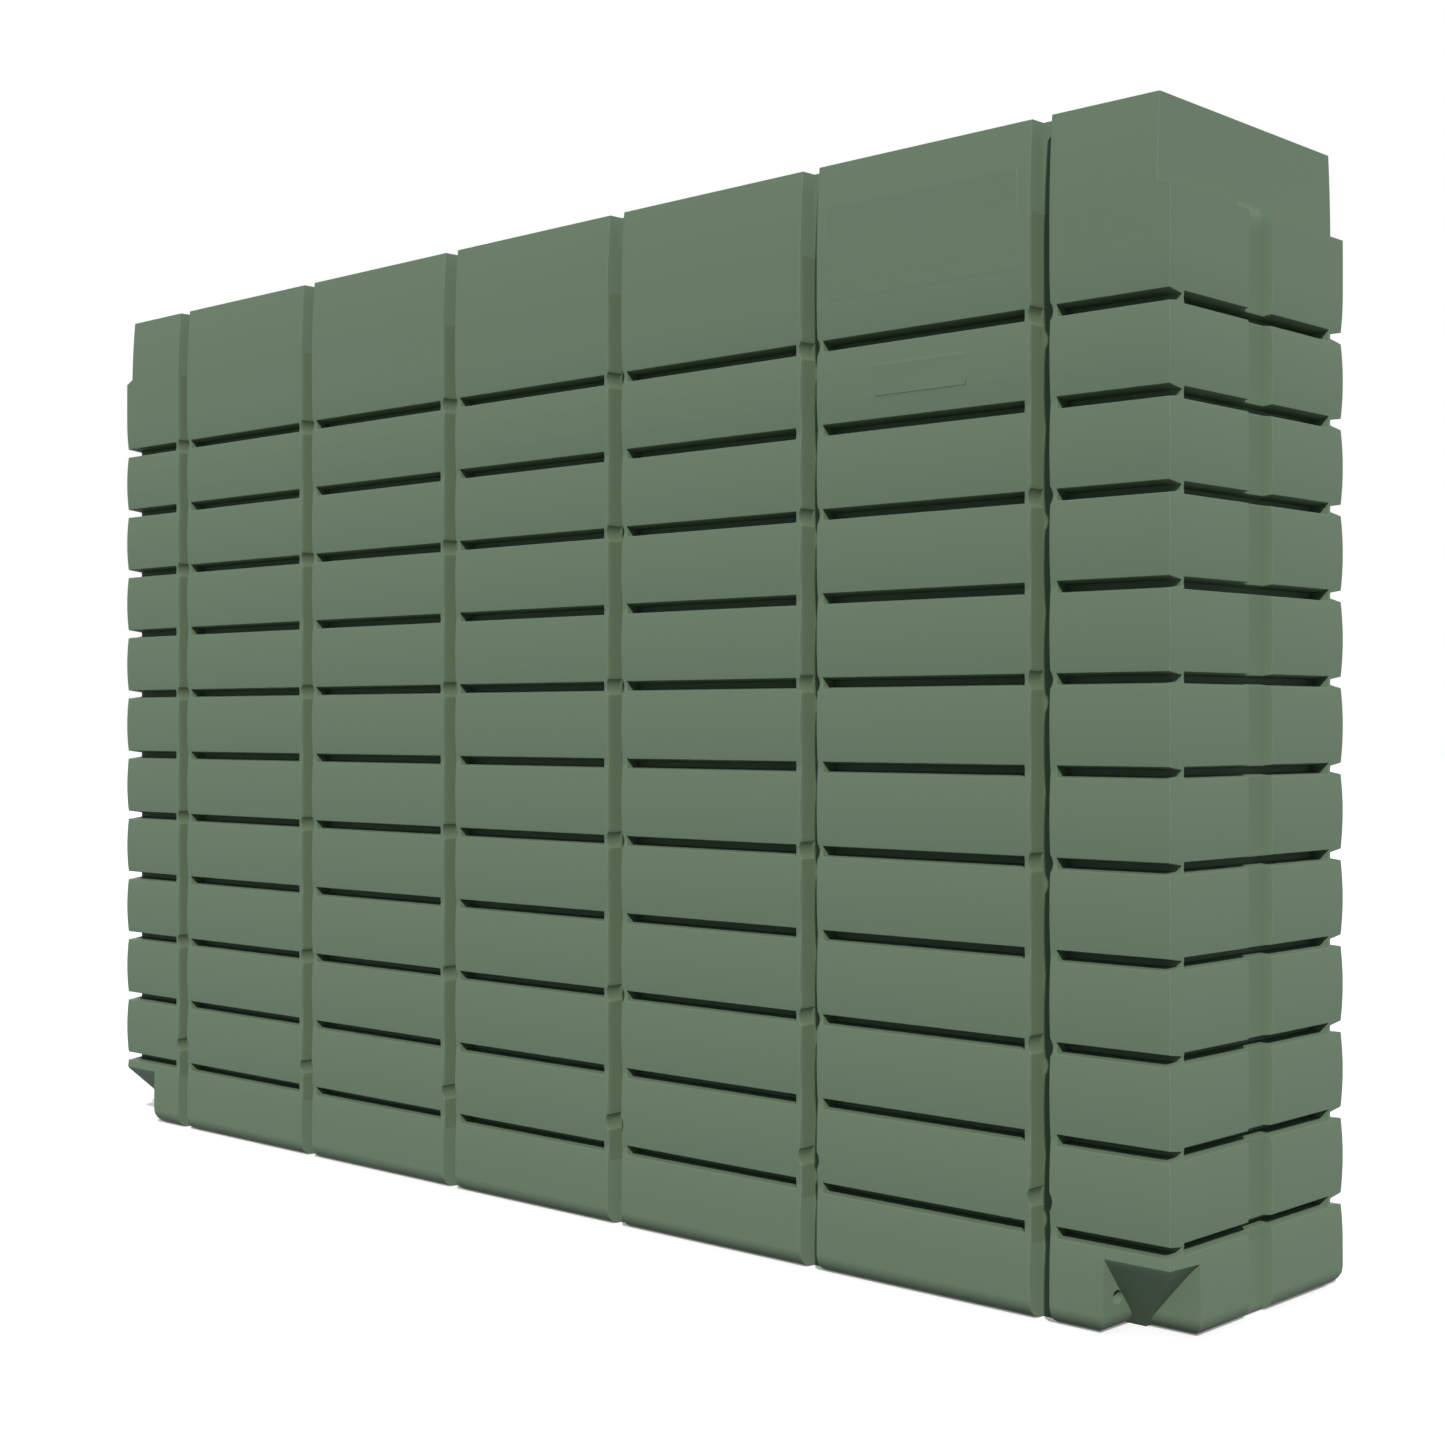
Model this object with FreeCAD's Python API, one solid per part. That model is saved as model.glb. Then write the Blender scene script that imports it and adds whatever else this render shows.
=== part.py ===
import FreeCAD, Part
import math, os

V = FreeCAD.Vector

# A slimline rainwater tank: one hollow moulded shell with rows, slots and grooves, and its fittings.
# Millimetres. X runs along the tank, -Y is its front, Z is up, and the base stands on Z = 0.

# Plan of the shell, measured on the flat lands that the slots are cut in
groove_pitch = 500.0
groove_count = 6
end_margin = 243.0
shell_width = 556.0
wall = 6.0

# Rows, which bulge out one above the other between the lands
row_bulge = 4.0
land = 52.0
slot_pitch = 150.0
slot_count = 11
first_slot_z = 152.0
top_row = 322.0
bottom_radius = 32.0

# Slots between the rows
slot_mouth = 20.0
slot_floor = 10.0
slot_depth = 36.0
slot_post = 12.0
corner_post = 6.5

# Grooves up the front and back, with round dents in them
groove_width = 39.0
groove_depth = 36.0
dent_radius = 25.0
low_dent_rise = 49.0

# Shallow groove up each end
end_groove_width = 75.5
end_groove_depth = 14.0

# Top of the faces: the front leans back, the ends step in
lean_height = 174.0
lean_back = 4.0
band_height = 141.0
band_setback = 20.0
ledge_drop = 10.0

# Notches in the two front bottom corners, each with an outlet in its inner wall
notch_length = 119.0
notch_depth = 86.0
notch_height = 121.0
notch_end_slope = 1.16
notch_front_slope = 1.23
outlet_radius = 12.5
outlet_boss_radius = 22.0
outlet_length = 25.0
outlet_from_front = 35.5
outlet_z = 56.5

# Inlet in the top, with a strainer that hangs in it
inlet_radius = 150.0
strainer_gap = 1.0
strainer_wall = 3.0
strainer_depth = 85.0
rim_width = 20.0
rim_thickness = 4.0
mesh_ledge = 8.0
mesh_gap = 0.5
mesh_thickness = 1.5

# Overflow in the set-back band of the left end, with a screen pushed into it
overflow_radius = 45.0
screen_gap = 0.3
screen_wall = 4.0
screen_lip = 8.0
screen_lip_thickness = 3.0
screen_depth = 14.0

# Plug of the spare outlet
plug_gap = 0.3
plug_length = 18.0
plug_socket = 12.0
plug_socket_depth = 9.0

half_length = (groove_count - 1) * groove_pitch / 2 + end_margin
half_width = shell_width / 2
top_slot_z = first_slot_z + (slot_count - 1) * slot_pitch
height = top_slot_z + top_row
band_z = height - band_height
inner_inset = wall - row_bulge / 2
reach = 4 * row_bulge
groove_x = [(i - (groove_count - 1) / 2) * groove_pitch for i in range(groove_count)]
slot_z = [first_slot_z + i * slot_pitch for i in range(slot_count)]


def outline(segments):
    """Close a half outline, given as lines and three-point arcs going up, with its mirror image."""
    left = [[(-u, z) for u, z in reversed(seg)] for seg in reversed(segments)]
    top, foot = segments[-1][-1], segments[0][0]
    return segments + [[top, (-top[0], top[1])]] + left + [[(-foot[0], foot[1]), foot]]


def prism(segments, place, along):
    """Extrude an outline. place turns its two numbers into a point, along is the extrusion."""
    edges = []
    for seg in segments:
        pts = [place(*p) for p in seg]
        if len(pts) == 3:
            edges.append(Part.Arc(*pts).toShape())
        else:
            edges.append(Part.makeLine(*pts))
    return Part.Face(Part.Wire(edges)).extrude(along)


def polygon(points):
    return [[points[i - 1], points[i]] for i in range(len(points))]


def front_prism(segments, x0, x1):
    return prism(segments, lambda y, z: V(x0, y, z), V(x1 - x0, 0, 0))


def end_prism(segments, y0, y1):
    return prism(segments, lambda x, z: V(x, y0, z), V(0, y1 - y0, 0))


def both_sides(shapes, normal):
    return shapes + [s.mirror(V(0, 0, 0), normal) for s in shapes]


# Rows: every row bulges between two slots, the lowest turns under and the top one runs on straight

def row_arcs(valley):
    crown, half, rise = valley + row_bulge, slot_pitch / 2, (slot_pitch - land) / 2
    radius = (rise ** 2 + row_bulge ** 2) / (2 * row_bulge)
    shoulder = crown - radius + math.sqrt(radius ** 2 - (rise / 2) ** 2)
    turn = bottom_radius * (1 - math.sqrt(0.5))
    low, high = first_slot_z - half, top_slot_z + half
    arcs = [[(crown - bottom_radius, 0), (crown - turn, turn), (crown, bottom_radius)],
            [(crown, bottom_radius), (crown, low)],
            [(crown, low), (shoulder, low + rise / 2), (valley, low + rise)]]
    for z in slot_z[:-1]:
        arcs.append([(valley, z - land / 2), (valley, z + land / 2)])
        arcs.append([(valley, z + land / 2), (crown, z + half), (valley, z + slot_pitch - land / 2)])
    arcs.append([(valley, top_slot_z - land / 2), (valley, top_slot_z + land / 2)])
    arcs.append([(valley, high - rise), (shoulder, high - rise / 2), (crown, high)])
    return arcs


def front_outline():
    crown, lean_z = half_width + row_bulge, height - lean_height
    drop = row_bulge + lean_back
    radius = (lean_height ** 2 + drop ** 2) / (2 * drop)
    middle = radius - math.sqrt(radius ** 2 - (lean_height / 2) ** 2)
    lean = [(crown, lean_z), (crown - middle, lean_z + lean_height / 2), (crown - drop, height)]
    return outline(row_arcs(half_width) + [[(crown, top_slot_z + slot_pitch / 2), (crown, lean_z)], lean])


def end_outline():
    crown, band = half_length + row_bulge, half_length - band_setback
    return outline(row_arcs(half_length) + [
        [(crown, top_slot_z + slot_pitch / 2), (crown, band_z - ledge_drop)],
        [(crown, band_z - ledge_drop), (band, band_z)], [(band, band_z), (band, height)]])


# Slots, grooves and dents: grow = 0 makes the cut in the outside, grow = wall the rib on the inside

def slot_profile(valley, grow):
    lip, floor = slot_mouth / 2 + grow, slot_floor / 2 + grow
    slope = (slot_mouth - slot_floor) / 2 / slot_depth
    outside, inside = valley + reach, valley - slot_depth - grow
    flare, tip = lip + slope * reach, floor - slope * grow
    sides = [(outside, -flare), (inside, -tip), (inside, tip), (outside, flare)]
    return lambda z: polygon([(u, z + dz) for u, dz in sides])


def panel_spans():
    """Where the slots of one face run: between two grooves, or from the last groove out past the end."""
    edge = groove_width / 2 + slot_post
    stops = [-half_length - 2 * reach - edge] + groove_x + [half_length + 2 * reach + edge]
    return [(a + edge, b - edge) for a, b in zip(stops, stops[1:])]


def long_slots(spans, grow):
    profile = slot_profile(half_width, grow)
    return both_sides([front_prism(profile(z), a, b) for z in slot_z for a, b in spans], V(0, 1, 0))


def end_slots(stop, grow):
    profile = slot_profile(half_length, grow)
    return both_sides([end_prism(profile(z), -stop, stop) for z in slot_z], V(1, 0, 0))


def groove(width, depth, valley, grow):
    """Upright groove of the face at +Y, centred on x = 0."""
    size = V(width + 2 * grow, depth + grow + reach, height + 2 * wall)
    return Part.makeBox(size.x, size.y, size.z, V(-size.x / 2, valley - depth - grow, -wall))


def long_grooves(width, grow):
    one = groove(width, groove_depth, half_width, grow)
    return both_sides([one.translated(V(x, 0, 0)) for x in groove_x], V(0, 1, 0))


def end_grooves(grow):
    one = groove(end_groove_width, end_groove_depth, half_length, grow)
    return both_sides([one.rotated(V(0, 0, 0), V(0, 0, 1), -90)], V(1, 0, 0))


def dents():
    """Round dents in the front grooves, on every other slot and above the lowest one."""
    heights = slot_z[::-1][::2][:-1] + [first_slot_z + low_dent_rise]
    floor = groove_depth - half_width
    return [Part.makeCylinder(dent_radius, groove_depth + reach, V(x, floor, z), V(0, -1, 0))
            for x in groove_x for z in heights]


# Corner notches: a hipped ceiling that falls inward, and inner walls that turn under at the foot

def notch(grow):
    end, front = half_length, -half_width
    top = notch_height + 2 * reach
    turn = bottom_radius - (bottom_radius - grow) * math.sqrt(0.5)

    def foot(face, depth, inward, wide):
        at = lambda d: face + inward * d
        back, plane = at(depth + bottom_radius), at(depth + grow)
        return [[(at(-reach), -wall), (back, -wall)], [(back, -wall), (back, grow)],
                [(back, grow), (at(depth + turn), turn), (plane, bottom_radius)],
                [(plane, bottom_radius), (plane, wide)], [(plane, wide), (at(-reach), wide)],
                [(at(-reach), wide), (at(-reach), -wall)]]

    def hip(face, slope, inward):
        rise = notch_height + grow * math.hypot(1, slope)
        return polygon([(face - inward * reach, -wall), (face - inward * reach, rise + slope * reach),
                        (face + inward * (rise + wall) / slope, -wall)])

    span = (end - notch_length - 3 * bottom_radius, end + 2 * reach)
    depth = (front - 2 * reach, front + notch_depth + 3 * bottom_radius)
    ceiling = front_prism(hip(front, notch_front_slope, 1), *span)
    ceiling = ceiling.fuse(end_prism(hip(end, notch_end_slope, -1), *depth))
    walls = end_prism(foot(end, notch_length, -1, top), *depth)
    return ceiling.common(walls).common(front_prism(foot(front, notch_depth, 1, top), *span))


def outlet(radius, length):
    """Round along the outlet's axis, from the notch wall into the tank."""
    at = V(half_length - notch_length, outlet_from_front - half_width, outlet_z)
    return Part.makeCylinder(radius, length, at, V(-1, 0, 0))


# Shell

def cavity():
    """Inside of the moulding: plain walls, with a rib behind every slot and groove."""
    def outline_to(face, top):
        return outline([[(face + wall - bottom_radius, wall), (face, bottom_radius)],
                        [(face, bottom_radius), top[0]]] + [[a, b] for a, b in zip(top, top[1:])])

    face, lean = half_width - inner_inset, half_width - lean_back - wall
    front = outline_to(face, [(face, height - lean_height), (lean, height - wall)])
    face, band, ledge = half_length - inner_inset, half_length - band_setback - wall, band_z - wall / 2
    end = outline_to(face, [(face, ledge - ledge_drop), (band, ledge), (band, height - wall)])
    hollow = front_prism(front, -half_length, half_length).common(end_prism(end, -half_width, half_width))
    ribs = long_slots([(-half_length, half_length)], wall) + end_slots(half_width, wall)
    ribs += long_grooves(2 * dent_radius, wall) + end_grooves(wall)
    boss = outlet(outlet_boss_radius, outlet_length)
    return hollow.cut(ribs + both_sides([notch(wall), boss], V(1, 0, 0)))


def tank_body():
    outside = front_prism(front_outline(), -half_length - reach, half_length + reach)
    outside = outside.common(end_prism(end_outline(), -half_width - reach, half_width + reach))
    cuts = long_slots(panel_spans(), 0) + end_slots(half_width - slot_depth - corner_post, 0) + dents()
    cuts += long_grooves(groove_width, 0) + end_grooves(0) + both_sides([notch(0)], V(1, 0, 0))
    bores = both_sides([outlet(outlet_radius, outlet_length + wall)], V(1, 0, 0))
    bores.append(Part.makeCylinder(inlet_radius, 3 * wall, V(0, 0, height - 2 * wall)))
    bores.append(overflow_round(overflow_radius, -wall, 2 * wall))
    return outside.cut(cuts).removeSplitter().cut([cavity()] + bores)


# Fittings

def turned(points):
    """Revolve an outline of radius and height above the top of the shell about the inlet's axis."""
    face = Part.Face(Part.makePolygon([V(r, 0, height + z) for r, z in points + points[:1]]))
    return face.revolve(V(0, 0, 0), V(0, 0, 1), 360)


def inlet_strainer():
    """Round cup, open below inside a ledge, under a flat rim that lies on the top of the shell."""
    outer, rim = inlet_radius - strainer_gap, inlet_radius + rim_width
    inner, sole = outer - strainer_wall, strainer_wall - strainer_depth
    hole = inner - mesh_ledge
    return turned([(hole, -strainer_depth), (outer, -strainer_depth), (outer, 0), (rim, 0),
                   (rim, rim_thickness), (inner, rim_thickness), (inner, sole), (hole, sole)])


def strainer_mesh():
    """Mesh of the inlet, a disc on the ledge in the foot of the cup."""
    at = V(0, 0, height + strainer_wall - strainer_depth)
    return Part.makeCylinder(inlet_radius - strainer_gap - strainer_wall - mesh_gap, mesh_thickness, at)


def overflow_round(radius, start, stop):
    """Round along the overflow's axis, from start to stop inward of the band of the left end."""
    at = V(band_setback - half_length + start, 0, height - band_height / 2)
    return Part.makeCylinder(radius, stop - start, at, V(1, 0, 0))


def overflow_sleeve():
    """Short sleeve pushed into the overflow as far as the lip that lies on the band."""
    outer = overflow_radius - screen_gap
    lip = overflow_round(overflow_radius + screen_lip, -screen_lip_thickness, 0)
    sleeve = lip.fuse(overflow_round(outer, -screen_lip_thickness, screen_depth))
    return sleeve.cut(overflow_round(outer - screen_wall, -screen_depth, 2 * screen_depth)).removeSplitter()


def overflow_mesh():
    """Mesh pressed into the sleeve, level with the outside of the band."""
    return overflow_round(overflow_radius - screen_gap - screen_wall, 0, mesh_thickness)


def outlet_plug():
    """Screw plug of the left outlet, flush with the notch wall, turned by a hexagon socket."""
    corner = plug_socket / math.sqrt(3)
    ring = [V(0, corner * math.cos(i * math.pi / 3), corner * math.sin(i * math.pi / 3)) for i in range(7)]
    socket = Part.Face(Part.makePolygon(ring)).extrude(V(-plug_socket_depth, 0, 0))
    socket.translate(V(half_length - notch_length, outlet_from_front - half_width, outlet_z))
    return outlet(outlet_radius - plug_gap, plug_length).cut(socket).mirror(V(0, 0, 0), V(1, 0, 0))


def export(name, shape):
    if shape.ShapeType == "Compound" and len(shape.Solids) == 1:
        shape = shape.Solids[0]
    shape.exportStep("parts/" + name + ".step")


os.makedirs("parts", exist_ok=True)
export("tank_body", tank_body())
export("inlet_strainer", inlet_strainer())
export("strainer_mesh", strainer_mesh())
export("overflow_sleeve", overflow_sleeve())
export("overflow_mesh", overflow_mesh())
export("outlet_plug", outlet_plug())
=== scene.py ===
import math
import bmesh
import bpy
import numpy as np
from mathutils import Matrix, Vector


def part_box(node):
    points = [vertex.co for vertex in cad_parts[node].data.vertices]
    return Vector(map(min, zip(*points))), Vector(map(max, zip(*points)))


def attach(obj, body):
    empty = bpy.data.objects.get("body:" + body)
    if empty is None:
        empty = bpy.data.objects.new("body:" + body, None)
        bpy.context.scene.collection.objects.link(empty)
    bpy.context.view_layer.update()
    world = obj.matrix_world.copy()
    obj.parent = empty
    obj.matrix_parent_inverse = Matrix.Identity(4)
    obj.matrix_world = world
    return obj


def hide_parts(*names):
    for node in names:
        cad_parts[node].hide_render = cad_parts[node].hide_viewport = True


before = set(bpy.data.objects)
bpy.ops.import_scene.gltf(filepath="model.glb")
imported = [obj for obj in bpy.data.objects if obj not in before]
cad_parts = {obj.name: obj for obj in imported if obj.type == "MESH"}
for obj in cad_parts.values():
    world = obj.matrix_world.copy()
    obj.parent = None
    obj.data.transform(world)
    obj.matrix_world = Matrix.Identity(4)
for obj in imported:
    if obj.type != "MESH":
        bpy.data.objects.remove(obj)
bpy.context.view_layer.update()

# Camera
# It stands level at the height of half the tank, off its right front corner, and sees the front and
# the right end. Place, turn and lens come from the photograph's two vanishing points.
EYE = (3.3275, -3.2505, 0.982)
eye = bpy.data.objects.new("eye", bpy.data.cameras.new("eye"))
eye.data.sensor_width, eye.data.lens = 36.0, 54.64
eye.location, eye.rotation_euler = EYE, (math.radians(90), 0, math.radians(43.2))
bpy.context.scene.collection.objects.link(eye)
bpy.context.scene.camera = eye


# Shell
# One hollow moulding of green polyethylene, melted inside a mould that turns in an oven, so that its wall
# is even and its edges are slightly round. Rows bulge between slots, and grooves stiffen the long faces.
MM = 0.001
HALF_LENGTH, HALF_WIDTH, HEIGHT, WALL = 1493.0, 278.0, 1974.0, 6.0
BULGE, FOOT_RADIUS, LIP = 3.6, 32.0, 0.8
ROW_PITCH = 150.0
SLOTS = [152.0 + ROW_PITCH * i for i in range(11)]
LOWEST_ROW, TOP_ROW = SLOTS[0] - ROW_PITCH / 2, SLOTS[-1] + ROW_PITCH / 2
SLOT_MOUTH, SLOT_FLOOR, SLOT_DEPTH, POST, CORNER_POST = 10.0, 5.0, 36.0, 12.0, 6.5
GROOVES, GROOVE_HALF, GROOVE_DEPTH = [250.0, 750.0, 1250.0], 19.5, 36.0
END_GROOVE_HALF, END_GROOVE_DEPTH = 37.75, 14.0
LEAN, LEAN_FROM, BAND, BAND_FROM, BAND_Z = 8.0, 1800.0, 20.0, 1823.0, 1833.0
NOTCH_LENGTH, NOTCH_DEPTH, NOTCH_HEIGHT = 119.0, 86.0, 121.0
NOTCH_END_SLOPE, NOTCH_FRONT_SLOPE = 1.16, 1.23
# Level distance that each slope takes for a wall of 1
END_SLOPE_WALL, FRONT_SLOPE_WALL = 1.32, 1.29
# Inner faces: how far inside the lands, their lean, their extra step inwards, and how much lower it is
INSET, INNER_LEAN, BAND_EXTRA, BAND_DROP = 4.0, 6.0, 2.0, 3.0
DENT_RADIUS = 25.0
PLATES = [(796.5, 1205.0, 1731.0, 1896.0), (905.0, 1100.0, 1551.0, 1604.0)]
PLATE_Y = 282.0
# A depth beyond every recess, the middle of a rounded edge, and the runs of recess and plate walls
PAST, TURN, RUN, PLATE_RUN, GAP = 50.0, 0.3, 0.5, 0.25, 0.3
# Levels that follow the bulge of a row, counted from its middle, and the lean of the top
ROW_STEPS, BAND_LEVELS = (-52, -34, -12, 12, 34, 52), [1845.0, 1880.0, 1910.0, 1940.0]
# In metres: points nearer than this become one, and edges shorter than this are taken out
MERGE, SLIVER = 2e-5, 1e-5


def edge(at, into, lip):
    """Lines over an edge whose recess lies in the direction into: their places and depths."""
    if lip:
        rounded = [(at - into * lip, 0.0), (at - into * TURN * lip, TURN * lip), (at, lip)]
        return rounded + [(at + into * RUN, PAST)]
    return [(at, 0.0), (at + into * RUN, PAST)]


def read(table, at):
    """Depth at a place, read between the lines of a table."""
    places, depths = zip(*sorted(table))
    return np.interp(at, places, depths)


def faces_of(lip, grow):
    """Depth tables of one skin: grooves and slots along the front, grooves and slots along the end."""
    half = (DENT_RADIUS if grow else GROOVE_HALF) + grow
    front_groove, front_slot = [(0.0, 0.0)], [(0.0, PAST)]
    for x in GROOVES:
        front_groove += edge(x - half, 1, lip) + edge(x + half, -1, lip)
        if not grow:
            out = GROOVE_HALF + POST
            front_slot += edge(x - out, -1, lip) + edge(x + out, 1, lip)
    end_half, stop = END_GROOVE_HALF + grow, HALF_WIDTH - SLOT_DEPTH - CORNER_POST
    end_groove = edge(-end_half, 1, lip) + edge(end_half, -1, lip)
    end_slot = [(0.0, PAST)] if grow else edge(-stop, 1, lip) + edge(stop, -1, lip)
    return front_groove, front_slot, end_groove, end_slot


def slot_levels(lip, grow):
    """Depth table of the slots by height. SLOT_MOUTH and SLOT_FLOOR are half their heights."""
    mouth, floor = SLOT_MOUTH + grow, SLOT_FLOOR + grow
    shelf = mouth - (mouth - floor) * (END_GROOVE_DEPTH + 1) / (SLOT_DEPTH + grow)
    one = [(0.0, PAST), (floor, PAST), (shelf, END_GROOVE_DEPTH + 1.0 + grow), (mouth - 0.15 * lip, lip)]
    one += [(mouth + TURN * lip, TURN * lip), (mouth + lip + 0.01, 0.0)]
    return [(z + side * u, d) for z in SLOTS for u, d in one for side in (-1, 1)]


def outer_profile(z):
    """How far the front and the end stand out from the flat lands at height z."""
    first = (SLOTS[0] + SLOTS[1]) / 2
    rows = first + ROW_PITCH * np.round((z - first) / ROW_PITCH)
    bulge = BULGE * (1 - ((z - rows) / (ROW_PITCH / 2)) ** 2)
    body = np.where((z < LOWEST_ROW) | (z > TOP_ROW), BULGE, bulge)
    turned = np.sqrt(np.maximum(0, FOOT_RADIUS ** 2 - np.maximum(0, FOOT_RADIUS - z) ** 2)) - FOOT_RADIUS
    lean = LEAN * (np.maximum(0, z - LEAN_FROM) / (HEIGHT - LEAN_FROM)) ** 2
    band = np.interp(z, [BAND_FROM, BAND_Z], [0, BULGE + BAND])
    top = np.interp(z, [HEIGHT - LIP, HEIGHT - TURN * LIP, HEIGHT], [0, TURN * LIP, LIP])
    return body + turned - lean - top, body + turned - band - top


def inner_profile(z):
    """The same for the inside of the wall."""
    foot = np.interp(z, [WALL, FOOT_RADIUS], [FOOT_RADIUS - WALL, 0])
    lean = np.interp(z, [LEAN_FROM, HEIGHT - WALL], [0, INNER_LEAN])
    band = np.interp(z, [BAND_FROM - BAND_DROP, BAND_Z - BAND_DROP], [0, BAND + BAND_EXTRA])
    return -INSET - foot - lean, -INSET - foot - band


def skin(lip, grow, profile, levels):
    """Rings of points round the tank, one for each level, from the bottom to the top."""
    groove_x, slot_x, groove_y, slot_y = faces_of(lip, grow)
    slot_z = slot_levels(lip, grow)
    z = np.array(sorted({round(h, 3) for h in levels} | {round(h, 3) for h, _ in slot_z}))
    x = {round(p, 3) for p, _ in groove_x + slot_x if p > 0}
    x |= {p + s * PLATE_RUN for x0, x1, _, _ in PLATES for p in (x0, x1) for s in (-1, 1)} if lip else set()
    x, y = np.array(sorted(x)), np.array(sorted({round(p, 3) for p, _ in groove_y + slot_y if p}))
    front_out, end_out = profile(z)

    def recess(along, groove, slot, out, land, groove_depth):
        """Distance of a face from the middle of the tank, at each place and level."""
        cut = np.minimum(read(slot, along)[:, None], read(slot_z, z)[None, :])
        slotted = np.maximum(out - cut, -SLOT_DEPTH - grow)
        grooved = np.maximum(out - read(groove, along)[:, None], -groove_depth - grow)
        return land + np.minimum(out, np.minimum(slotted, grooved))

    front = recess(x, groove_x, slot_x, front_out, HALF_WIDTH, GROOVE_DEPTH)
    end = recess(y, groove_y, slot_y, end_out, HALF_LENGTH, END_GROOVE_DEPTH)
    corner = recess([HALF_LENGTH], [(0, 0)], [(0, PAST)], front_out, HALF_WIDTH, 0)[0]
    side = HALF_LENGTH + end_out
    if grow:
        side = recess([HALF_WIDTH], [(0, 0)], [(0, PAST)], end_out, HALF_LENGTH, 0)[0]

    turned = FOOT_RADIUS + grow - np.sqrt(FOOT_RADIUS ** 2 - np.maximum(0, FOOT_RADIUS - z) ** 2)
    rise = NOTCH_HEIGHT - z
    in_front = np.minimum(rise / NOTCH_FRONT_SLOPE + grow * FRONT_SLOPE_WALL, NOTCH_DEPTH + turned)
    in_end = np.minimum(rise / NOTCH_END_SLOPE + grow * END_SLOPE_WALL, NOTCH_LENGTH + turned)
    tip_x, tip_y = np.minimum(side, HALF_LENGTH - in_end), np.minimum(corner, HALF_WIDTH - in_front)
    wall_x = HALF_LENGTH - NOTCH_LENGTH - turned
    wall_y = np.where(tip_x < side, HALF_WIDTH - NOTCH_DEPTH - turned, tip_y - lip)

    def half(face):
        """Points of the right half: front, notch, end, back."""
        ring = [(np.minimum(place, tip_x - lip), -near) for place, near in zip(x, face)]
        ring += [(wall_x, -corner), (wall_x + GAP, -tip_y), (tip_x - lip, -tip_y)]
        ring += [(tip_x - TURN * lip, -tip_y + TURN * lip), (tip_x, -tip_y + lip)]
        ring += [(tip_x, -wall_y), (side, GAP - wall_y)]
        ring += [(near, np.clip(place, GAP - wall_y, corner - lip)) for place, near in zip(y, end)]
        ring += [(side, corner - lip), (side - TURN * lip, corner - TURN * lip), (side - lip, corner)]
        ring += [(np.minimum(place, side - lip), near) for place, near in zip(x[::-1], front[::-1])]
        return np.array([[a + 0 * z, b + 0 * z, z] for a, b in ring]).transpose(2, 0, 1)

    marked = front.copy()
    for x0, x1, z0, z1 in PLATES if lip else []:
        on = ((x > x0) & (x < x1))[:, None] & ((z > z0) & (z < z1))[None, :]
        marked = np.where(on, np.maximum(marked, PLATE_Y), marked)
    return np.concatenate([half(marked), half(front)[:, ::-1] * np.array([-1, 1, 1])], axis=1) * MM


def add_rings(bm, rings, outward):
    """Skin the rings with quads and close the first and the last."""
    count = rings.shape[1]
    loops = [[bm.verts.new(p) for p in ring] for ring in rings]
    for low, high in zip(loops, loops[1:]):
        for j in range(count):
            k = (j + 1) % count
            quad = [low[j], low[k], high[k], high[j]]
            bm.faces.new(quad if outward else quad[::-1])
    bm.faces.new(loops[-1] if outward else loops[-1][::-1])
    bm.faces.new(loops[0][::-1] if outward else loops[0])


def make_object(name, mesh):
    made = bpy.data.objects.new(name, mesh)
    bpy.context.scene.collection.objects.link(made)
    return made


def plain_mesh(made):
    """Turn what the modifiers make of an object into its own mesh."""
    graph = bpy.context.evaluated_depsgraph_get()
    made.data = bpy.data.meshes.new_from_object(made.evaluated_get(graph))
    made.modifiers.clear()
    return made


foot_levels = [FOOT_RADIUS * (1 - math.cos(math.radians(a))) for a in (0, 18, 36, 54, 72, 90)]
row_middles = [z + ROW_PITCH / 2 for z in [SLOTS[0] - ROW_PITCH] + SLOTS]
row_levels = [z + d for z in row_middles for d in ROW_STEPS]
outer_levels = foot_levels + [z for z in row_levels if LOWEST_ROW < z < TOP_ROW] + [NOTCH_HEIGHT, TOP_ROW]
outer_levels += [NOTCH_HEIGHT + BULGE * slope for slope in (NOTCH_END_SLOPE, NOTCH_FRONT_SLOPE)]
outer_levels += [LEAN_FROM, BAND_FROM, BAND_Z] + BAND_LEVELS
outer_levels += [HEIGHT - LIP, HEIGHT - TURN * LIP, HEIGHT]
outer_levels += [h + s * PLATE_RUN for _, _, z0, z1 in PLATES for h in (z0, z1) for s in (-1, 1)]
notch_levels = [124.0, 126.5, 130.5]
inner_levels = [WALL, 15.0, FOOT_RADIUS] + notch_levels + [LEAN_FROM, BAND_FROM - BAND_DROP]
inner_levels += [BAND_Z - BAND_DROP, HEIGHT - WALL]
bm = bmesh.new()
add_rings(bm, skin(LIP, 0.0, outer_profile, outer_levels), True)
bmesh.ops.remove_doubles(bm, verts=bm.verts, dist=MERGE)
add_rings(bm, skin(0.0, WALL, inner_profile, inner_levels), False)
bmesh.ops.dissolve_degenerate(bm, edges=bm.edges, dist=SLIVER)
shell = make_object("moulded_shell", bpy.data.meshes.new("moulded_shell"))
bm.to_mesh(shell.data)
bm.free()


# Finish of the shell
# Green pigment mixed through the plastic, the fine grain of the mould, and faint patches of dust. The walls
# of slots and grooves are painted a darker olive: painted shade that stands in for the shade inside them.


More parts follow.
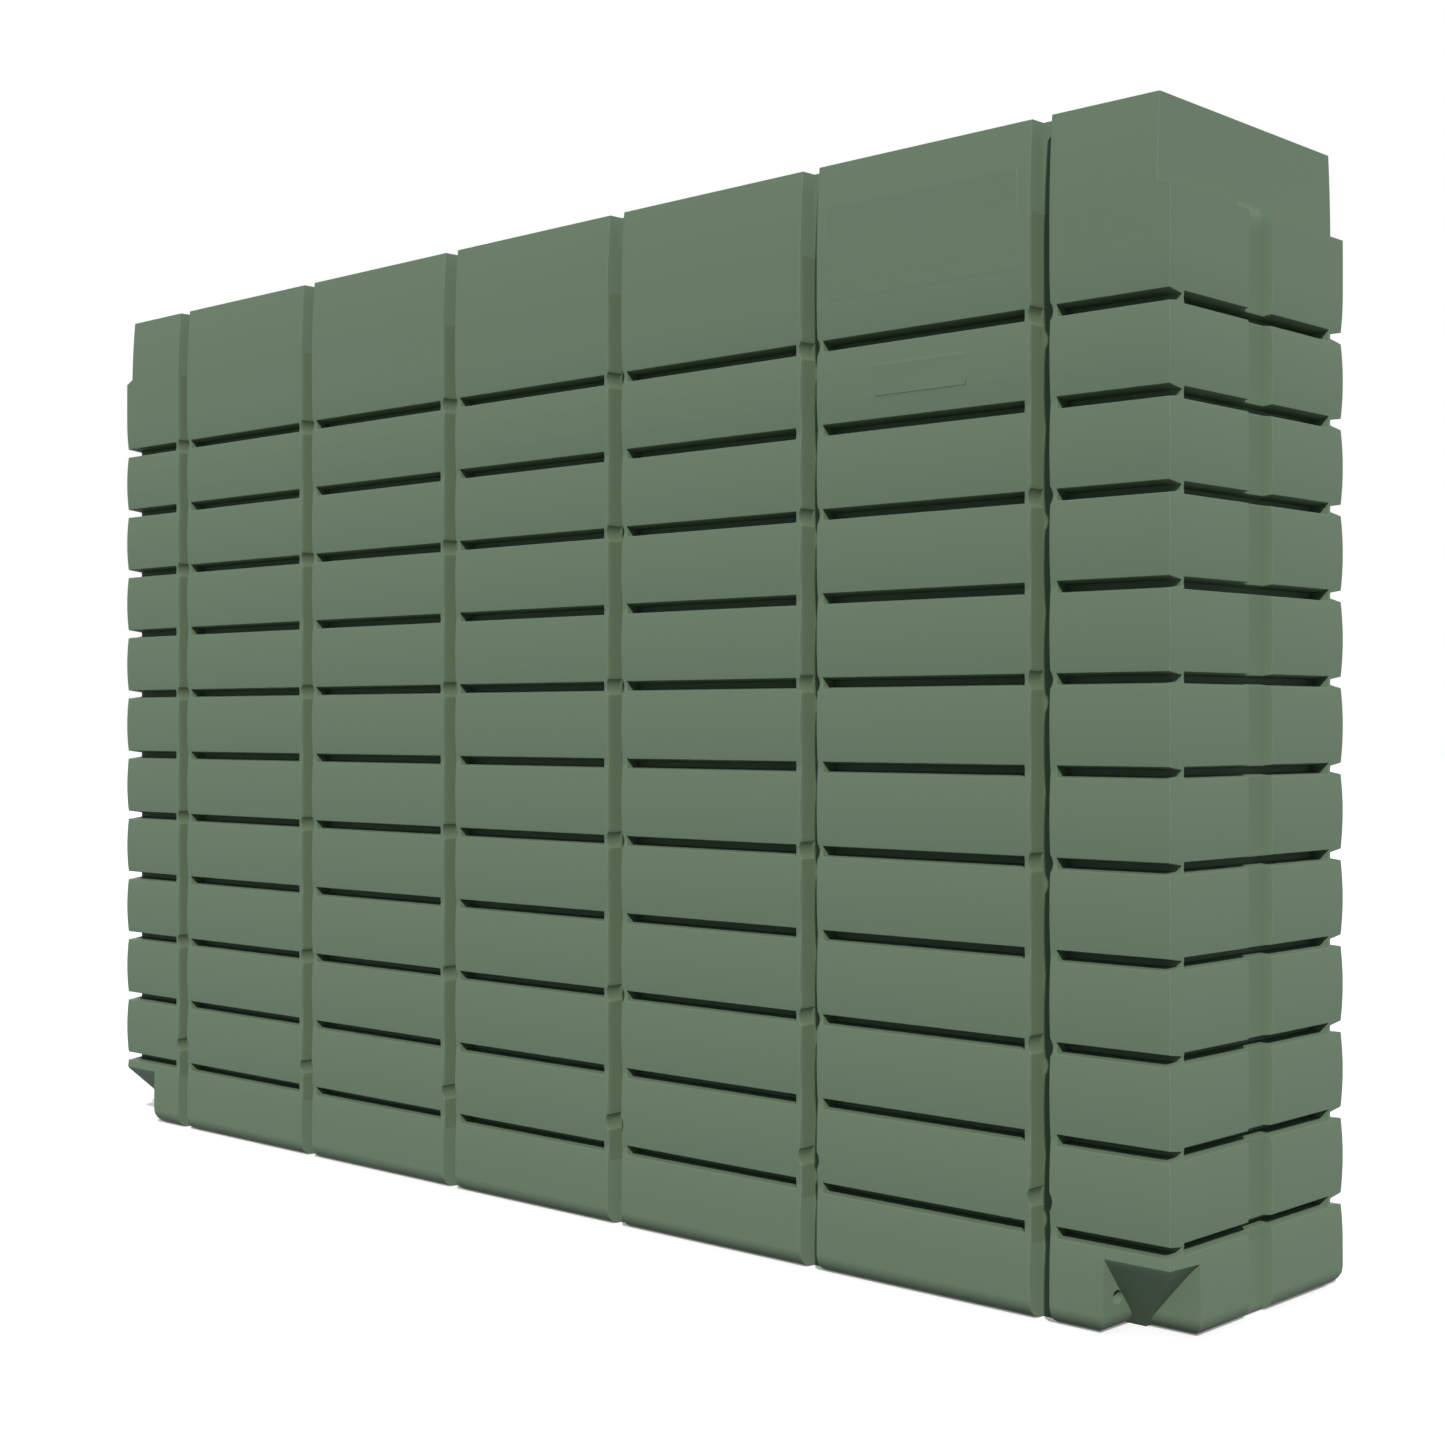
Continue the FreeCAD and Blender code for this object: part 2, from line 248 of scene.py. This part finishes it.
class Sum:
    """A shader socket that can be used in sums."""

    def __init__(self, paint, socket):
        self.paint, self.socket = paint, socket

    def _math(self, operation, first, second=0.0):
        return self.paint.node("ShaderNodeMath", dict(operation=operation), _0=first, _1=second)

    def __add__(self, other):
        return self._math("ADD", self, other)

    def __sub__(self, other):
        return self._math("SUBTRACT", self, other)

    def __rsub__(self, other):
        return self._math("SUBTRACT", other, self)

    def __mul__(self, other):
        return self._math("MULTIPLY", self, other)

    def __lt__(self, other):
        return self._math("LESS_THAN", self, other)

    def __gt__(self, other):
        return self._math("GREATER_THAN", self, other)

    __radd__, __rmul__ = __add__, __mul__

    def least(self, other):
        return self._math("MINIMUM", self, other)

    def size(self):
        return self._math("ABSOLUTE", self)

    def ramp(self, low, high):
        """Smooth step from 0 at low to 1 at high."""
        settings = dict(interpolation_type="SMOOTHSTEP")
        return self.paint.node("ShaderNodeMapRange", settings, _0=self, _1=low, _2=high)


class Paint:
    """A material whose nodes are added one at a time."""

    def __init__(self, name, **constants):
        self.material = bpy.data.materials.new(name)
        self.material.use_nodes = True
        self.tree = self.material.node_tree
        self.shader = self.tree.nodes["Principled BSDF"]
        for label, value in constants.items():
            self.shader.inputs[label.replace("_", " ")].default_value = value
        self.place = self.node("ShaderNodeTexCoord", output="Object")

    def node(self, kind, settings=(), output=0, **inputs):
        """Add a node. An input is named by its label, or by its number after a low line."""
        made = self.tree.nodes.new(kind)
        for key, value in dict(settings).items():
            setattr(made, key, value)
        for key, value in inputs.items():
            socket = made.inputs[int(key[1:])] if key[1:].isdigit() else made.inputs[key.replace("_", " ")]
            if isinstance(value, Sum):
                self.tree.links.new(value.socket, socket)
            else:
                socket.default_value = value
        return Sum(self, made.outputs[output])

    def axes(self):
        parted = self.tree.nodes.new("ShaderNodeSeparateXYZ")
        self.tree.links.new(self.place.socket, parted.inputs[0])
        return [Sum(self, out) for out in parted.outputs]

    def noise(self, scale, detail=2.0, stretch=(1, 1, 1)):
        at = self.node("ShaderNodeMapping", Vector=self.place, Scale=stretch)
        return self.node("ShaderNodeTexNoise", Vector=at, Scale=scale, Detail=detail)

    def mix(self, share, first, second):
        made = self.tree.nodes.new("ShaderNodeMix")
        made.data_type = "RGBA"
        for index, value in ((0, share), (6, first), (7, second)):
            if isinstance(value, Sum):
                self.tree.links.new(value.socket, made.inputs[index])
            else:
                made.inputs[index].default_value = value if index == 0 else (*value, 1)
        return Sum(self, made.outputs[2])

    def feed(self, **links):
        for label, value in links.items():
            self.tree.links.new(value.socket, self.shader.inputs[label.replace("_", " ")])

    def grain(self, height, strength, distance):
        self.feed(Normal=self.node("ShaderNodeBump", Height=height, Strength=strength, Distance=distance))


# The second colour is painted shade for the walls of slots and grooves, not a pigment of the plastic.
OPEN_GREEN, RECESS_SHADE_OLIVE, DUST = (0.144, 0.213, 0.139), (0.122, 0.174, 0.104), (0.170, 0.232, 0.165)
# Painted recess shade starts this far below the faces, is full this much deeper on front and end, and keeps
# to these heights
SHADE_FROM, SHADE_FRONT, SHADE_END, SHADE_LOW, SHADE_HIGH = 1.5, 4.0, 30.0, 125.0, 1822.0
PATCH_SHARE, STREAK_SHARE, SHADE_SHARE = 0.10, 0.06, 0.8
green = Paint("shell_green", IOR=1.5, Specular_IOR_Level=0.08)
x, y, z = green.axes()
below_front = (HALF_WIDTH - SHADE_FROM) * MM - y.size()
below_end = (HALF_LENGTH - SHADE_FROM) * MM - x.size()
shade_heights = (z > SHADE_LOW * MM) * (z < SHADE_HIGH * MM)
# Mask of painted shade: full deeper inside slots and grooves, between the given heights.
recess = below_front.ramp(0.0, SHADE_FRONT * MM).least(below_end.ramp(0.0, SHADE_END * MM)) * shade_heights
patches = green.noise(2.2, 4.0).ramp(0.35, 0.75)
streaks = green.noise(1.0, 3.0, (9.0, 9.0, 0.8)).ramp(0.45, 0.8)
colour = green.mix(patches * PATCH_SHARE, OPEN_GREEN, DUST)
colour = green.mix(streaks * STREAK_SHARE, colour, DUST)
# Painted shade: the recesses turn darker olive.
colour = green.mix(recess * SHADE_SHARE, colour, RECESS_SHADE_OLIVE)
fine = green.noise(900.0, 2.0)
green.feed(Base_Color=colour, Roughness=0.56 + patches * 0.06 + fine * 0.05)
green.grain(fine + green.noise(45.0, 2.0) * 3.0, 0.10, 0.0004)
shell.data.materials.append(green.material)


# Holes of the shell
# Round dents stand one above the other in the front grooves. The inlet and the overflow are sawn after
# moulding, and the outlets are drilled through round bosses on the inside of the wall.
DENT_HEIGHTS, DENT_CUT, DENT_CLEAR = [1652.0, 1352.0, 1052.0, 752.0, 452.0, 201.0], 40.0, 0.05
OUTLET_RADIUS, OUTLET_T, OUTLET_Z, OUTLET_BOSS, OUTLET_LENGTH = 12.5, 35.5, 56.5, 22.0, 25.0
INLET_RADIUS, OVERFLOW_RADIUS, OVERFLOW_Z, SAW = 150.0, 45.0, 1903.5, 30.0
# Edges that turn by more degrees than this are drawn sharp
SHARP_FROM = 50


class Tree:
    """Geometry Nodes tree that is built a node at a time and then applied to an object."""

    def __init__(self, name, **sizes):
        self.tree = bpy.data.node_groups.new(name, "GeometryNodeTree")
        face = self.tree.interface
        face.new_socket("Geometry", in_out="INPUT", socket_type="NodeSocketGeometry")
        self.sizes = {}
        for label, value in sizes.items():
            self.sizes[label] = (face.new_socket(label, in_out="INPUT", socket_type="NodeSocketFloat"), value)
        face.new_socket("Geometry", in_out="OUTPUT", socket_type="NodeSocketGeometry")
        self.start = self.tree.nodes.new("NodeGroupInput")

    def node(self, kind, **inputs):
        made = self.tree.nodes.new(kind)
        for key, value in inputs.items():
            socket = made.inputs[key.replace("_", " ")]
            if isinstance(value, bpy.types.NodeSocket):
                self.tree.links.new(value, socket)
            else:
                socket.default_value = value
        return made.outputs

    def size(self, label):
        return self.start.outputs[label]

    def apply(self, made, geometry, material):
        """End the tree in real geometry of one material, and keep what it makes of an object."""
        real = self.node("GeometryNodeRealizeInstances", Geometry=geometry)
        dressed = self.node("GeometryNodeSetMaterial", Geometry=real["Geometry"], Material=material)
        end = self.tree.nodes.new("NodeGroupOutput")
        self.tree.links.new(dressed["Geometry"], end.inputs[0])
        modifier = made.modifiers.new(self.tree.name, "NODES")
        modifier.node_group = self.tree
        for socket, value in self.sizes.values():
            modifier[socket.identifier] = value
        return plain_mesh(made)


def points(name, places, pairs=()):
    """Object of bare points, and of lines between pairs of them."""
    mesh = bpy.data.meshes.new(name)
    mesh.from_pydata([[c * MM for c in place] for place in places], pairs, [])
    return make_object(name, mesh)


def bore_cutters(name, places, radius, length, turn):
    """Round cutters of one size, each centred on a place and turned from upright."""
    tree = Tree(name, Radius=radius * MM, Length=length * MM)
    round_bar = tree.node("GeometryNodeMeshCylinder", Vertices=64, Radius=tree.size("Radius"),
                          Depth=tree.size("Length"))
    placed = tree.node("GeometryNodeInstanceOnPoints", Points=tree.start.outputs["Geometry"],
                       Instance=round_bar["Mesh"], Rotation=turn)
    return tree.apply(points(name, places), placed["Instances"], green.material)


def combine(made, cutter, operation="DIFFERENCE"):
    """Cut a cutter away from an object, or join it on with UNION, and remove the cutter."""
    cut = made.modifiers.new("cut", "BOOLEAN")
    cut.operation, cut.solver, cut.object = operation, "EXACT", cutter
    plain_mesh(made)
    bpy.data.objects.remove(cutter)


upright, along_x, along_y = (0, 0, 0), (0, math.radians(90), 0), (math.radians(90), 0, 0)
dent_y = -(HALF_WIDTH - GROOVE_DEPTH + DENT_CUT / 2 + DENT_CLEAR)
dent_places = [(side * x, dent_y, z) for x in GROOVES for side in (-1, 1) for z in DENT_HEIGHTS]
combine(shell, bore_cutters("dent_pads", dent_places, DENT_RADIUS, DENT_CUT, along_y))
outlet_x, outlet_y = HALF_LENGTH - NOTCH_LENGTH, -HALF_WIDTH + OUTLET_T
boss_places = [(side * (outlet_x - OUTLET_LENGTH / 2 - WALL / 4), outlet_y, OUTLET_Z) for side in (-1, 1)]
bosses = bore_cutters("outlet_bosses", boss_places, OUTLET_BOSS, OUTLET_LENGTH - WALL / 2, along_x)
combine(shell, bosses, "UNION")
combine(shell, bore_cutters("outlet_drill", boss_places, OUTLET_RADIUS, 2 * OUTLET_LENGTH, along_x))
combine(shell, bore_cutters("inlet_saw", [(0, 0, HEIGHT)], INLET_RADIUS, SAW, upright))
overflow_place = [(BAND - HALF_LENGTH, 0, OVERFLOW_Z)]
combine(shell, bore_cutters("overflow_saw", overflow_place, OVERFLOW_RADIUS, SAW, along_x))
shell.data.shade_smooth()
shell.data.set_sharp_from_angle(angle=math.radians(SHARP_FROM))
weigh = shell.modifiers.new("weigh", "WEIGHTED_NORMAL")
weigh.keep_sharp = True
plain_mesh(shell)
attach(shell, "root")
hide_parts("tank_body")


# Strainer cup, overflow sleeve and outlet plug
# Black polypropylene fittings from an injection mould. The cup hangs by its rim in the inlet, the sleeve is
# pushed into the overflow, and the plug is screwed into the spare outlet of the left notch.
BLACK, WORN_BLACK = (0.018, 0.018, 0.019), (0.035, 0.035, 0.036)
black = Paint("fitting_black", IOR=1.49, Specular_IOR_Level=0.15)
scuffs = black.noise(30.0, 5.0).ramp(0.5, 0.75)
pores = black.noise(1400.0, 2.0)
black.feed(Base_Color=black.mix(scuffs * 0.6, BLACK, WORN_BLACK), Roughness=0.55 + scuffs * 0.15)
black.grain(pores, 0.12, 0.0003)
for name in ("inlet_strainer", "overflow_sleeve", "outlet_plug"):
    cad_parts[name].material_slots[0].material = black.material


# Meshes
# Two layers of stainless wire welded into a ring, one screen in the foot of the strainer cup and one in the
# overflow sleeve. They keep leaves and insects out.
WIRE, PITCH, RIM_RADIUS, RIM_GAP = 0.6, 4.0, 1.2, 1.3
DARK_STEEL, PALE_STEEL = (0.5, 0.5, 0.49), (0.62, 0.62, 0.6)
steel = Paint("screen_steel", Metallic=1.0)
drawn = steel.noise(600.0, 2.0)
steel.feed(Base_Color=steel.mix(drawn, DARK_STEEL, PALE_STEEL), Roughness=0.28 + drawn * 0.15)


def wire_screen(name, node, radius, centre, turn):
    """A screen in place of a node, made flat about the origin and then turned about Y and set in place."""
    tree = Tree(name, Wire=WIRE * MM / 2, Rim=RIM_RADIUS * MM)
    count = int(radius / PITCH)
    chords = [(i * PITCH, math.sqrt(radius ** 2 - (i * PITCH) ** 2)) for i in range(-count, count + 1)]
    ends = []
    for at, reach in chords:
        ends += [(at, -reach, -WIRE / 2), (at, reach, -WIRE / 2)]
        ends += [(-reach, at, WIRE / 2), (reach, at, WIRE / 2)]
    made = points(name, ends, [(i, i + 1) for i in range(0, len(ends), 2)])
    lines = tree.node("GeometryNodeMeshToCurve", Mesh=tree.start.outputs["Geometry"])
    thin = tree.node("GeometryNodeCurvePrimitiveCircle", Resolution=6, Radius=tree.size("Wire"))
    wires = tree.node("GeometryNodeCurveToMesh", Curve=lines["Curve"], Profile_Curve=thin["Curve"],
                      Fill_Caps=True)
    hoop = tree.node("GeometryNodeCurvePrimitiveCircle", Resolution=96, Radius=radius * MM)
    thick = tree.node("GeometryNodeCurvePrimitiveCircle", Resolution=8, Radius=tree.size("Rim"))
    rim = tree.node("GeometryNodeCurveToMesh", Curve=hoop["Curve"], Profile_Curve=thick["Curve"])
    both = tree.tree.nodes.new("GeometryNodeJoinGeometry")
    for part in (wires["Mesh"], rim["Mesh"]):
        tree.tree.links.new(part, both.inputs[0])
    tree.apply(made, both.outputs[0], steel.material)
    made.data.transform(Matrix.Translation([c * MM for c in centre]) @ Matrix.Rotation(turn, 4, "Y"))
    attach(made, "root")
    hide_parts(node)


low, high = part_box("strainer_mesh")
strainer_centre = (0, 0, (low.z + high.z) / 2 / MM)
wire_screen("strainer_wires", "strainer_mesh", high.x / MM - RIM_GAP, strainer_centre, 0)
low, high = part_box("overflow_mesh")
overflow_centre = ((low.x + high.x) / 2 / MM, 0, (low.z + high.z) / 2 / MM)
wire_screen("overflow_wires", "overflow_mesh", high.y / MM - RIM_GAP, overflow_centre, math.radians(90))


# Floor and light
# A pale floor that runs out of sight. The key light stands high, halfway between the front and the right
# end, and lights both alike. The sky fills the shadows with a cooler light, and a weaker lamp the back.
FLOOR_REACH, FLOOR_DARK, FLOOR_PALE, FLOOR_GLOW = 40, 0.10, 0.9, 0.25
SUNLIGHT, COOL_LIGHT, SKY = (1.0, 0.955, 0.91), (0.95, 0.97, 1.0), (0.25, 0.29, 0.40, 1)
KEY_FROM, FILL_FROM = (1.0, -1.03, 1.05), (-1.0, 1.2, 0.5)
floor_mesh = bpy.data.meshes.new("floor")
corners = [(-1, -1), (1, -1), (1, 1), (-1, 1)]
floor_mesh.from_pydata([(FLOOR_REACH * a, FLOOR_REACH * b, 0) for a, b in corners], [], [(0, 1, 2, 3)])
floor = make_object("floor", floor_mesh)
SEEN_BY = ("Is Camera Ray", "Is Glossy Ray", "Is Transmission Ray")
pale = Paint("floor_pale", Roughness=0.9, Specular_IOR_Level=0.1, Emission_Strength=1.0)
path = pale.tree.nodes.new("ShaderNodeLightPath").outputs
camera_ray, glossy_ray, clear_ray = [Sum(pale, path[label]) for label in SEEN_BY]
seen = camera_ray + glossy_ray + clear_ray
pale.feed(Base_Color=pale.mix(seen, (FLOOR_DARK,) * 3, (FLOOR_PALE,) * 3),
          Emission_Color=pale.mix(seen, (0, 0, 0), (FLOOR_GLOW,) * 3))
floor_mesh.materials.append(pale.material)


def far_lamp(name, energy, width, colour, place):
    """Lamp so far away that its rays are parallel. It shines from place, and width is its angle."""
    lamp = bpy.data.objects.new(name, bpy.data.lights.new(name, "SUN"))
    lamp.data.energy, lamp.data.angle, lamp.data.color = energy, math.radians(width), colour
    lamp.rotation_euler = Vector(place).to_track_quat("Z", "Y").to_euler()
    bpy.context.scene.collection.objects.link(lamp)


far_lamp("key", 3.7, 3, SUNLIGHT, KEY_FROM)
far_lamp("fill", 1.5, 40, COOL_LIGHT, FILL_FROM)

room = bpy.data.worlds.new("room")
bpy.context.scene.world = room
room.use_nodes = True
nodes, links = room.node_tree.nodes, room.node_tree.links
sky = nodes["Background"]
sky.inputs["Color"].default_value = SKY
white, choose = nodes.new("ShaderNodeBackground"), nodes.new("ShaderNodeMixShader")
white.inputs["Color"].default_value = (1, 1, 1, 1)
path = nodes.new("ShaderNodeLightPath").outputs
shown = path[SEEN_BY[0]]
for label in SEEN_BY[1:]:
    add = nodes.new("ShaderNodeMath")
    links.new(shown, add.inputs[0])
    links.new(path[label], add.inputs[1])
    shown = add.outputs[0]
links.new(shown, choose.inputs[0])
links.new(sky.outputs[0], choose.inputs[1])
links.new(white.outputs[0], choose.inputs[2])
links.new(choose.outputs[0], nodes["World Output"].inputs[0])
bpy.context.scene.view_settings.view_transform = "Standard"
